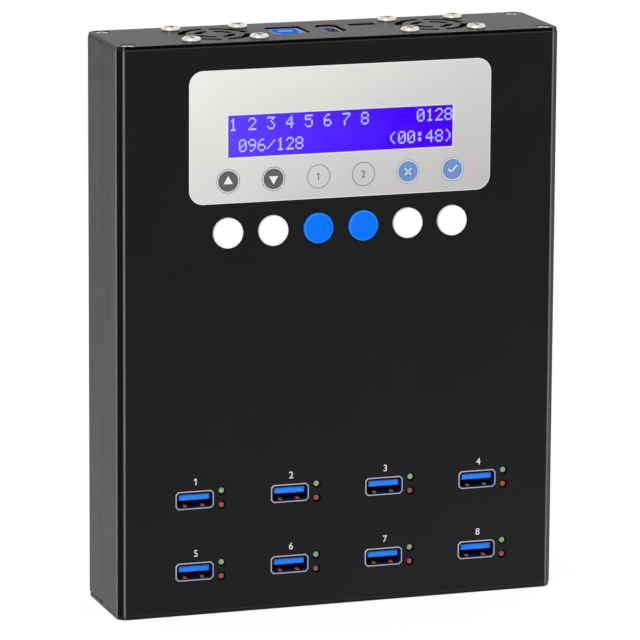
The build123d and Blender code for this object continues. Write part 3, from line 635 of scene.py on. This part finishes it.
def socket_blue():
    """Blue moulding of the sockets, with painted shade where it lies far inside and towards the sides of the
    mouth.
    """
    finish = Finish("socket_blue")
    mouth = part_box("upper_port_tongues")[0].y
    x, y, z = finish.axes()
    beside, above = from_socket_middle(x, z)
    # Painted shade: dark far inside the front sockets and round the edges of the tongue
    from_edge = (tongue_width / 2 - beside).at_most(tongue_top - above)
    towards_edge = (0.85 - from_edge / tongue_shadow).clamped()
    painted_inner_shade = y.past(mouth, 1.2 * mm).at_least(towards_edge) * at_front_sockets(z)
    cloud = finish.noise(2.5 * mm)
    tongue = finish.mix(cloud, colour(8, 122, 250), colour(24, 142, 255))
    return finish.done(
        Base_Color=finish.mix(painted_inner_shade, tongue, colour(3, 12, 92)),
        Roughness=0.36,
        Specular_IOR_Level=0.3,
    )


def socket_steel():
    """Plated steel of the sockets, bright on the rim of the mouth, with painted shade inside, tinted dark
    blue as a painted reflection of the tongue.
    """
    finish = Finish("socket_steel")
    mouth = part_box("upper_port_shells")[0].y
    x, y, z = finish.axes()
    beside, above = from_socket_middle(x, z)
    half_height = half_size_of("lower_port_shells").z
    inwards = inside_outline(beside, above, socket_width / 2, half_height, socket_corner)
    off_rim = inwards.past(socket_rim, 0.08 * mm)
    # Painted shade inside the mouth, tinted blue as a painted reflection of the tongue; it also dulls the
    # metal there
    painted_inner_shade = y.past(mouth + 0.25 * mm, 0.3 * mm).at_least(off_rim) * at_front_sockets(z)
    grain = finish.noise(0.3 * mm)
    polish = finish.noise(3 * mm, 3.0)
    bright = finish.mix(polish, colour(168, 165, 170), colour(208, 205, 210))
    return finish.done(
        Base_Color=finish.mix(painted_inner_shade, bright, colour(4, 9, 72)),
        Metallic=1.0 - 0.9 * painted_inner_shade,
        Roughness=(0.22 + 0.16 * polish + 0.3 * painted_inner_shade).clamped(),
        Normal=finish.bump(grain, 0.004 * mm),
    )


def contact_copper():
    """Copper contact springs, with painted shade further inside the sockets."""
    finish = Finish("contact_copper")
    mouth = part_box("port_contacts")[0].y
    y, z = finish.axes("YZ")
    # Painted shade: the copper darkens further inside the front sockets
    painted_inner_shade = y.past(mouth + 0.6 * mm, 1.4 * mm) * at_front_sockets(z)
    grain = finish.noise(0.9 * mm)
    copper = finish.mix(grain, colour(128, 82, 50), colour(184, 122, 78))
    return finish.done(
        Base_Color=finish.mix(painted_inner_shade, copper, colour(18, 12, 14)),
        Roughness=(0.3 + 0.1 * grain).clamped(),
    )


def screw_steel(node, group_x, head_radius, recess_radius, bright_radius):
    """Polished steel of one group of screws, with painted shadow inside the cross recess and round a sunk
    rim.
    """
    finish = Finish(f"{node}_steel")
    low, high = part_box(node)
    x, y, z = finish.axes()
    beside = abs(abs(x) - group_x) - (high.x - head_radius - group_x)
    from_axis = distance(beside, abs(y) - (high.y - head_radius))
    depth = z - low.z if node == "bottom_plate_screws" else high.z - z
    below_face = depth.past(screw_recess_start, 0.06 * mm) * depth.short_of(screw_recess_end, 0.1 * mm)
    # Painted shadow inside the cross recess and round the sunk rim
    painted_recess_shadow = below_face * from_axis.short_of(recess_radius, 0.1 * mm)
    rim = from_axis.past(bright_radius, 0.1 * mm)
    polish = finish.noise(1.6 * mm, 3.0)
    steel = finish.mix(polish, colour(206, 200, 190), colour(240, 236, 228))
    return finish.done(
        Base_Color=finish.mix(painted_recess_shadow.at_least(rim), steel, colour(26, 25, 24)),
        Metallic=1.0,
        Roughness=(0.16 + 0.14 * polish).clamped(),
        Normal=finish.bump(finish.noise(0.5 * mm), 0.004 * mm),
    )


def lamp_lens(node, dark, light):
    """Cloudy coloured lens of one row of lamps, dark round its edge, a painted shadow of the hole it sits in.
    """
    finish = Finish(f"{node}_lens")
    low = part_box(node)[0]
    x, z = finish.axes("XZ")
    from_axis = distance(*from_nearest_copy(x, z, low.x + lamp_flange_radius, low.z + lamp_flange_radius))
    # Painted shadow of the hole round the edge of the lens
    edge = from_axis.past(lamp_bright_radius, 0.12 * mm)
    cloud = finish.noise(0.8 * mm)
    return finish.done(
        Base_Color=finish.mix(edge, finish.mix(cloud, dark, light), colour(30, 30, 28)),
        Roughness=(0.2 + 0.12 * cloud).clamped(),
        Coat_Weight=0.4,
        Coat_Roughness=0.1,
    )


def circuit_green():
    """Green solder resist over copper tracks."""
    finish = Finish("circuit_green")
    weave = finish.noise(0.5 * mm)
    sockets = {"Vector": finish.place, "Scale": 90.0, "Mortar Size": 0.03}
    tracks = finish.node("ShaderNodeTexBrick", {}, sockets)
    lines = finish.node("ShaderNodeRGBToBW", {}, {0: tracks})
    board = finish.mix(weave, colour(14, 62, 34), colour(22, 80, 44))
    return finish.done(
        Base_Color=finish.mix((0.35 * lines).clamped(), board, colour(60, 120, 70)),
        Roughness=(0.3 + 0.1 * weave).clamped(),
    )


silver_dark = colour(176, 174, 172)
silver_light = colour(224, 222, 220)
screw_dark = colour(196, 190, 180)
screw_light = colour(238, 234, 226)

# Finish of each material slot, and of the screw groups whose recesses show
finishes = {
    "black_anodised": anodised_black(),
    "screw_steel": plain_metal("polished_screw", screw_dark, screw_light, 0.24, 0.5 * mm),
    "label_silver": label_silver(),
    "window_clear": clear_pane(),
    "display_blue": display_blue(),
    "bezel_steel": plain_metal("bezel_steel", silver_dark, silver_light, 0.35, 0.4 * mm),
    "board_green": circuit_green(),
    "button_white": moulded("cap_white", colour(250, 250, 250), colour(254, 254, 254), 0.4),
    "button_blue": cap_blue(),
    "part_black": moulded("black_plastic", colour(18, 18, 19), colour(34, 34, 36), 0.5),
    "socket_steel": socket_steel(),
    "tongue_blue": socket_blue(),
    "contact_copper": contact_copper(),
    "lamp_green": lamp_lens("green_lamps", colour(118, 152, 96), colour(158, 184, 132)),
    "lamp_red": lamp_lens("red_lamps", colour(138, 48, 58), colour(162, 66, 74)),
    "sink_aluminium": plain_metal("sink_aluminium", silver_dark, silver_light, 0.4, 0.4 * mm),
    "bearing_brass": plain_metal("bearing_brass", colour(170, 132, 60), colour(206, 170, 92), 0.3, 0.3 * mm),
    "coil_copper": plain_metal("coil_copper", colour(140, 70, 36), colour(190, 110, 64), 0.35, 0.2 * mm),
    "foot_rubber": moulded("foot_rubber", colour(20, 20, 21), colour(36, 36, 37), 0.8, 0.3 * mm, 0.02 * mm),
    "lead_black": moulded("lead_black", colour(16, 16, 17), colour(28, 28, 29), 0.55),
}
screw_finishes = {
    "fan_screws": screw_steel("fan_screws", **fan_screw),
    "top_plate_screws": screw_steel("top_plate_screws", **plate_screw),
    "bottom_plate_screws": screw_steel("bottom_plate_screws", **plate_screw),
}

# Prints and the display's characters
print_white = printed("print_white", colour(226, 226, 228), colour(240, 240, 241))
print_grey = printed("print_grey", colour(74, 76, 79), colour(90, 92, 95))
print_line = printed("print_line", colour(100, 103, 108), colour(118, 120, 124))
print_blue = printed("print_blue", colour(94, 134, 188), colour(106, 146, 198))
lit_characters = display_characters()

slot_of = {part["node"]: part["material_slot"] for part in frame["record"]["subparts"]}


def paint_frame_nodes():
    """Gives every frame node the finish of its material slot."""
    for name, node in frame["nodes"].items():
        for place in node.material_slots:
            place.material = finishes[slot_of[name]]


# Pieces

def piece(name, bm, material, body="case", stands_for=()):
    """Turns a bmesh into a finished piece that rides on a body."""
    mesh = bpy.data.meshes.new(name)
    bmesh.ops.recalc_face_normals(bm, faces=bm.faces)
    bm.to_mesh(mesh)
    bm.free()
    mesh.shade_smooth()
    mesh.set_sharp_from_angle(angle=shading_angle)
    mesh.materials.append(material)
    made = bpy.data.objects.new(name, mesh)
    bpy.context.scene.collection.objects.link(made)
    made.modifiers.new("even shading", "WEIGHTED_NORMAL").keep_sharp = True
    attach(made, body)
    if stands_for:
        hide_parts(*stands_for)


def softened(node, width, material=None):
    """Stands for a frame node: a merged copy of it with its sharp edges broken."""
    bm = bmesh.new()
    bm.from_mesh(frame["nodes"][node].data)
    bmesh.ops.remove_doubles(bm, verts=bm.verts, dist=merge_distance)
    bmesh.ops.dissolve_limit(bm, angle_limit=flat_angle, verts=bm.verts, edges=bm.edges)
    sharp = [edge for edge in bm.edges if edge.calc_face_angle(0.0) > sharp_angle]
    bmesh.ops.bevel(
        bm, geom=sharp, offset=width, segments=2, profile=0.5, affect="EDGES", material=-1,
        clamp_overlap=True,
    )
    slot = slot_of[node]
    body = frame["nodes"][node]["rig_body"]
    piece(f"{node}_finished", bm, material or finishes[slot], body, (node,))


def verts_of(geometry):
    """The vertices among what an operator returns."""
    return [part for part in geometry if isinstance(part, bmesh.types.BMVert)]


def faces_of(geometry):
    """The faces among what an operator returns."""
    return [part for part in geometry if isinstance(part, bmesh.types.BMFace)]


def polyline(bm, points):
    """Vertices and the edges that join them one after the other."""
    verts = [bm.verts.new(point) for point in points]
    return verts, [bm.edges.new(pair) for pair in zip(verts, verts[1:])]


def turned(bm, profile, centre):
    """Spins a profile of (radius, depth) points round an axis that runs along Y."""
    verts, edges = polyline(bm, [centre + Vector((radius, depth, 0)) for radius, depth in profile])
    bmesh.ops.spin(
        bm, geom=verts + edges, cent=centre, axis=(0, 1, 0), angle=2 * math.pi, steps=round_segments,
        use_merge=True,
    )
    bmesh.ops.remove_doubles(bm, verts=bm.verts, dist=2 * merge_distance)


def facing_out(x, depth, z, turn=0.0):
    """Matrix that lays a flat shape against the front at a place, looking out along -Y."""
    upright = Matrix.Rotation(math.pi / 2, 4, "X") @ Matrix.Rotation(turn, 4, "Z")
    return Matrix.Translation((x, depth, z)) @ upright


def thicken(bm, faces):
    """Gives flat printed faces their thickness towards the viewer."""
    made = bmesh.ops.extrude_face_region(bm, geom=faces)
    bmesh.ops.translate(bm, verts=verts_of(made["geom"]), vec=(0, -print_thickness, 0))


def disc(bm, place, radius, segments=round_segments):
    """A flat printed disc, or a triangle where it has three segments."""
    made = bmesh.ops.create_circle(bm, cap_ends=True, segments=segments, radius=radius, matrix=place)
    thicken(bm, list({face for vert in made["verts"] for face in vert.link_faces}))


def ring(bm, place, radius, width):
    """A flat printed ring."""
    made = bmesh.ops.create_circle(bm, cap_ends=False, segments=ring_segments, radius=radius, matrix=place)
    edges = list({edge for vert in made["verts"] for edge in vert.link_edges})
    grown = bmesh.ops.extrude_edge_only(bm, edges=edges)["geom"]
    share = (radius - width) / radius
    around_place = Matrix.Translation(-place.translation)
    bmesh.ops.scale(bm, verts=verts_of(grown), vec=(share, 1, share), space=around_place)
    thicken(bm, faces_of(grown))


def bar(bm, place, length, width):
    """A flat printed bar."""
    size = Matrix.Diagonal((length, width, print_thickness, 1))
    bmesh.ops.create_cube(bm, size=1.0, matrix=place @ Matrix.Translation((0, 0, print_thickness / 2)) @ size)


def figure(bm, text, place, height):
    """A printed figure, centred on a place."""
    curve = bpy.data.curves.new("figure", "FONT")
    curve.body = text
    curve.align_x = "CENTER"
    curve.align_y = "CENTER"
    curve.extrude = print_thickness / 2 / height
    curve.offset = figure_boldness
    curve.resolution_u = 4
    holder = bpy.data.objects.new("figure", curve)
    mesh = bpy.data.meshes.new_from_object(holder)
    levels = [vert.co.y for vert in mesh.vertices]
    top, foot = max(levels), min(levels)
    sized = Matrix.Scale(height / (top - foot), 4) @ Matrix.Translation((0, -(top + foot) / 2, 0))
    mesh.transform(place @ Matrix.Translation((0, 0, print_thickness / 2)) @ sized)
    bm.from_mesh(mesh)
    bpy.data.meshes.remove(mesh)
    bpy.data.objects.remove(holder)
    bpy.data.curves.remove(curve)
    if text == "1":
        flag = Matrix.Translation((flag_place[0] * height, flag_place[1] * height, 0))
        bar(bm, place @ flag @ Matrix.Rotation(flag_slope, 4, "Z"), flag_length * height, flag_width * height)


def button_cap(name, slot):
    """A round cap with a slight dome, a flange behind the wall and a post at its back."""
    node = f"button_{name}"
    low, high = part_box(node)
    middle = middle_of(node)
    radius = half_size_of(node).x - cap_flange_width
    skin_back = low.y + cap_skin
    flange_back = high.y - cap_post_reach
    flange_front = flange_back - cap_flange_thickness
    shares = [step / cap_dome_steps for step in range(cap_dome_steps + 1)]
    dome = [(radius * share, low.y + cap_dome * share ** 2) for share in shares]
    profile = dome + [
        (radius, flange_front),
        (radius + cap_flange_width, flange_front),
        (radius + cap_flange_width, flange_back),
        (radius - cap_skin, flange_back),
        (radius - cap_skin, skin_back),
        (cap_post_radius, skin_back),
        (cap_post_radius, high.y),
        (0, high.y),
    ]
    bm = bmesh.new()
    turned(bm, profile, Vector((middle.x, 0, middle.z)))
    at_rim = {vert for vert in bm.verts if abs(vert.co.y - low.y - cap_dome) < 0.01 * mm}
    rim = [edge for edge in bm.edges if at_rim.issuperset(edge.verts)]
    bmesh.ops.bevel(bm, geom=rim, offset=cap_edge_round, segments=5, profile=0.5, affect="EDGES", material=-1)
    piece(f"{node}_cap", bm, finishes[slot], f"{name}_key", (node,))


def socket_middles(row):
    """Middle of each front socket of a row, as (x, z)."""
    first_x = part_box(f"{row}_port_shells")[0].x + socket_width / 2
    level = middle_of(f"{row}_port_shells").z
    return [(first_x + column * socket_pitch, level) for column in range(socket_columns)]


def contact_leaf(bm, side_x, floor):
    """One bent leaf on the floor of a socket, from its mouth inwards."""
    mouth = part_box("port_contacts")[0].y
    line = []
    for step in range(spring_steps + 1):
        along = step / spring_steps
        passed = min(1.0, spring_arch_start + spring_arch_rate * along)
        rise = spring_height * math.sin(math.pi * passed) ** spring_arch_power
        line.append((side_x, mouth + spring_length * along, floor + rise))
    made = bmesh.ops.extrude_edge_only(bm, edges=polyline(bm, line)[1])["geom"]
    bmesh.ops.translate(bm, verts=verts_of(made), vec=(spring_width, 0, 0))
    bmesh.ops.solidify(bm, geom=faces_of(made), thickness=spring_thickness)


def contact_springs():
    """Two bent leaves in each front socket."""
    bm = bmesh.new()
    for row in socket_rows:
        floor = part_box(f"{row}_port_tongues")[0].z
        for x, _ in socket_middles(row):
            for side in (-1, 1):
                contact_leaf(bm, x + side * spring_spacing / 2 - spring_width / 2, floor)
    piece("contact_springs", bm, finishes["contact_copper"], "case", ("port_contacts",))


def lit_dots(character):
    """Column and level of each lit dot of a character."""
    levels = enumerate(glyphs.get(character, "").split())
    return [(column, level) for level, dots in levels for column, dot in enumerate(dots) if dot == "#"]


def display_text():
    """Characters of the display, each dot a small raised block on the glass."""
    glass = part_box("display_glass")[0].y
    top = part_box("display_window")[1].z - first_line_drop
    text_width = len(display_lines[0]) * character_pitch - dot_pitch_x
    left = middle_of("display_window").x + display_shift - text_width / 2
    bm = bmesh.new()
    for line, text in enumerate(display_lines):
        for position, character in enumerate(text):
            for column, level in lit_dots(character):
                x = left + position * character_pitch + (column + 0.5) * dot_pitch_x
                z = top - line * line_pitch - (level + 0.5) * dot_pitch_z
                bar(bm, facing_out(x, glass, z), dot_pitch_x * dot_fill, dot_pitch_z * dot_fill)
    piece("display_text", bm, lit_characters)


def printed_signs():
    """Six round signs on the label: two arrows, two numbers, a cross and a tick."""
    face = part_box("control_label")[0].y
    second_coat = face - print_thickness
    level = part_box("display_window")[0].z - sign_level_below_window
    places = [middle_of(f"button_{name}").x for name in button_names]
    arrows, numbers, (cross, tick) = places[:2], places[2:4], places[4:]
    discs, rings, blue_discs, marks = (bmesh.new() for _ in range(4))

    for x in arrows + numbers:
        ring(rings, facing_out(x, face, level), sign_ring_radius, sign_ring_line)
    for x, turn in zip(arrows, (0.0, math.pi)):
        disc(discs, facing_out(x, face, level), sign_disc_radius)
        disc(marks, facing_out(x, second_coat, level, turn), sign_arrow_radius, 3)
    for x, text in zip(numbers, "12"):
        figure(rings, text, facing_out(x, face, level), sign_figure_height)
    for x in arrows + [cross, tick]:
        ring(marks, facing_out(x, face, level), sign_gap_radius, sign_gap_line)
    for x in (cross, tick):
        disc(blue_discs, facing_out(x, face, level), sign_disc_radius)
        ring(blue_discs, facing_out(x, face, level), sign_ring_radius, sign_ring_line)

    falling, rising = -math.pi / 4, math.pi / 4
    for turn in (rising, falling):
        bar(marks, facing_out(cross, second_coat, level, turn), cross_length, sign_stroke)
    for place, turn, length in (
        (tick_short_place, falling, tick_short_length),
        (tick_long_place, rising, tick_long_length),
    ):
        bar(marks, facing_out(tick + place.x, second_coat, level + place.y, turn), length, sign_stroke)

    piece("sign_discs", discs, print_grey)
    piece("sign_rings", rings, print_line)
    piece("sign_blue_discs", blue_discs, print_blue)
    piece("sign_marks", marks, print_white)


def port_numbers():
    """Numbers printed over the front sockets, counted along the upper row and then the lower."""
    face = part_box("front_shell")[0].y
    middles = [middle for row in socket_rows for middle in socket_middles(row)]
    bm = bmesh.new()
    for number, (x, z) in enumerate(middles, 1):
        figure(bm, str(number), facing_out(x + number_shift, face, z + number_rise), number_height)
    piece("port_numbers", bm, print_white)


# Studio

def white_floor():
    """A floor that looks white all over and keeps the object's shadow."""
    mesh = bpy.data.meshes.new("floor")
    bm = bmesh.new()
    below = Matrix.Translation((0, 0, -floor_drop))
    bmesh.ops.create_grid(bm, x_segments=1, y_segments=1, size=floor_reach, matrix=below)
    bm.to_mesh(mesh)
    bm.free()
    floor = bpy.data.objects.new("floor", mesh)
    bpy.context.scene.collection.objects.link(floor)
    paint = Finish("floor")
    mesh.materials.append(paint.done(Base_Color=colour(239, 239, 239), Roughness=0.9))
    glow = paint.node("ShaderNodeEmission", {}, {"Strength": floor_white_strength})
    paint.show_white(paint.shader, glow, floor_white_share, "Material Output")


def soft_light():
    """Even light all round, in front of plain white, and one large lamp before and above the left side."""
    world = bpy.data.worlds.new("studio")
    bpy.context.scene.world = world
    around = NodeTree(world)
    white = colour(255, 255, 255)
    sky = around.nodes["Background"]
    around.feed(sky, {"Color": white, "Strength": sky_strength})
    backdrop = around.node("ShaderNodeBackground", {}, {"Color": white})
    around.show_white(sky, backdrop, 1.0, "World Output")

    lamp = bpy.data.lights.new("softbox", "AREA")
    lamp.shape = "SQUARE"
    lamp.size = softbox_size
    lamp.energy = softbox_power
    softbox = bpy.data.objects.new("softbox", lamp)
    softbox.location = softbox_place
    softbox.rotation_euler = (softbox_aim - softbox_place).to_track_quat("-Z", "Y").to_euler()
    bpy.context.scene.collection.objects.link(softbox)


def photo_camera():
    """The camera at the photograph's angle."""
    lens = bpy.data.cameras.new("camera")
    lens.lens = camera_lens
    lens.sensor_width = camera_sensor
    lens.clip_start = camera_near
    lens.clip_end = camera_far
    camera = bpy.data.objects.new("camera", lens)
    bpy.context.scene.collection.objects.link(camera)
    turn = Matrix.Rotation(-camera_yaw, 4, "Z") @ Matrix.Rotation(math.pi / 2 - camera_pitch, 4, "X")
    turn = turn @ Matrix.Rotation(camera_roll, 4, "Z")
    back = turn @ Vector((0, 0, camera_distance))
    camera.matrix_world = Matrix.Translation(camera_aim + back) @ turn
    bpy.context.scene.camera = camera


# The finished object

paint_frame_nodes()
for name in button_names:
    button_cap(name, "button_blue" if name in blue_buttons else "button_white")
for node, width in edge_widths.items():
    softened(node, width, screw_finishes.get(node))
contact_springs()
display_text()
printed_signs()
port_numbers()

# The view of it

white_floor()
soft_light()
photo_camera()
bpy.context.scene.view_settings.view_transform = "Standard"
